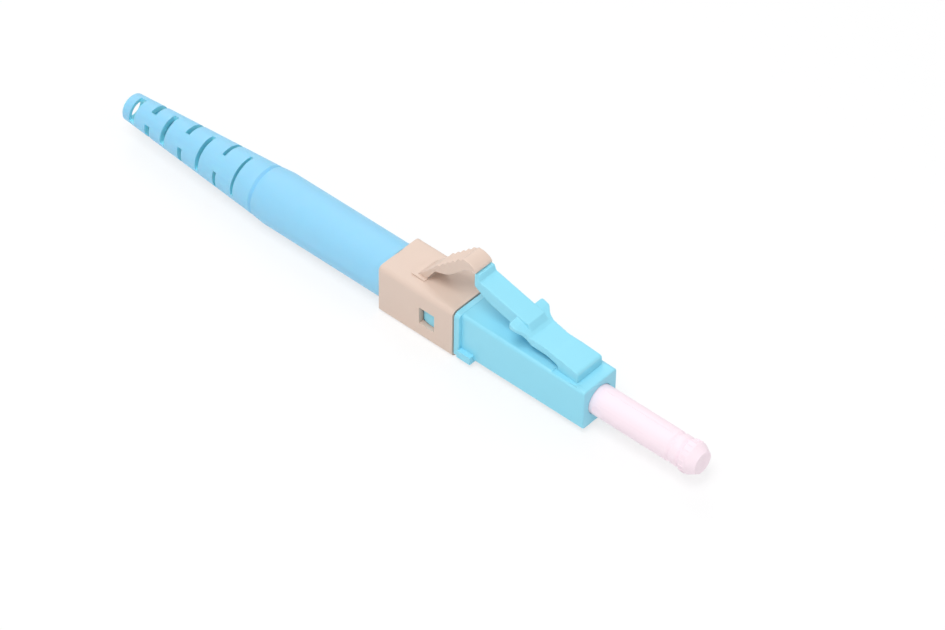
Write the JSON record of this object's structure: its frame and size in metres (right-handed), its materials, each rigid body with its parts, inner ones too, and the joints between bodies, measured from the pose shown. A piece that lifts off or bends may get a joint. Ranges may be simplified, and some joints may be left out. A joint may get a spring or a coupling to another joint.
{
  "type": "lc fibre connector",
  "caption": "Small latched fibre plug with a squeeze lever, slotted strain relief boot and fitted dust cap.",
  "frame": {"origin": "on the optical axis, in the plane of the plug's nose face", "axes": "+X forward along the optical axis towards the dust cap, +Y to the left, +Z towards the latch"},
  "size_m": [0.0705, 0.0056, 0.0108],
  "materials": {
    "aqua_plastic": "satin moulded",
    "clip_plastic": "satin moulded",
    "boot_rubber": "matt",
    "cap_plastic": "satin moulded",
    "zirconia": "polished",
    "nickel_brass": "plated",
    "tube_plastic": "plain",
    "spring_steel": "drawn",
    "plated_metal": "plated"
  },
  "bodies": {
    "housing": {"plug_body": "aqua_plastic", "rear_clip": "clip_plastic", "boot": "boot_rubber", "backbone": "plated_metal", "crimp_sleeve": "plated_metal", "ferrule_spring": "spring_steel"},
    "latch": {"latch_arm": "aqua_plastic"},
    "trigger": {"trigger_arm": "clip_plastic"},
    "ferrule_unit": {"ferrule": "zirconia", "ferrule_holder": "nickel_brass", "guide_tube": "tube_plastic"},
    "cap": {"dust_cap": "cap_plastic"}
  },
  "joints": [
    {"name": "latch_flex", "type": "hinge", "parent": "housing", "child": "latch", "pos_m": [-0.00395, 0, 0.00319], "axis": [0, 1, 0], "range_deg": [-12, 0], "stiffness_Nm_per_rad": 0.005},
    {"name": "trigger_flex", "type": "hinge", "parent": "housing", "child": "trigger", "pos_m": [-0.0199, 0, 0.00327], "axis": [0, 1, 0], "range_deg": [0, 17]},
    {"name": "ferrule_float", "type": "slide", "parent": "housing", "child": "ferrule_unit", "axis": [-1, 0, 0], "range_m": [0, 0.0008], "stiffness_N_per_m": 1500, "deforming": ["ferrule_spring"]},
    {"name": "cap_pull", "type": "slide", "parent": "housing", "child": "cap", "axis": [1, 0, 0], "range_m": [0, 0.012]}
  ],
  "couplings": [
    {"joint": "trigger_flex", "follows": "latch_flex", "ratio": -1.4}
  ]
}
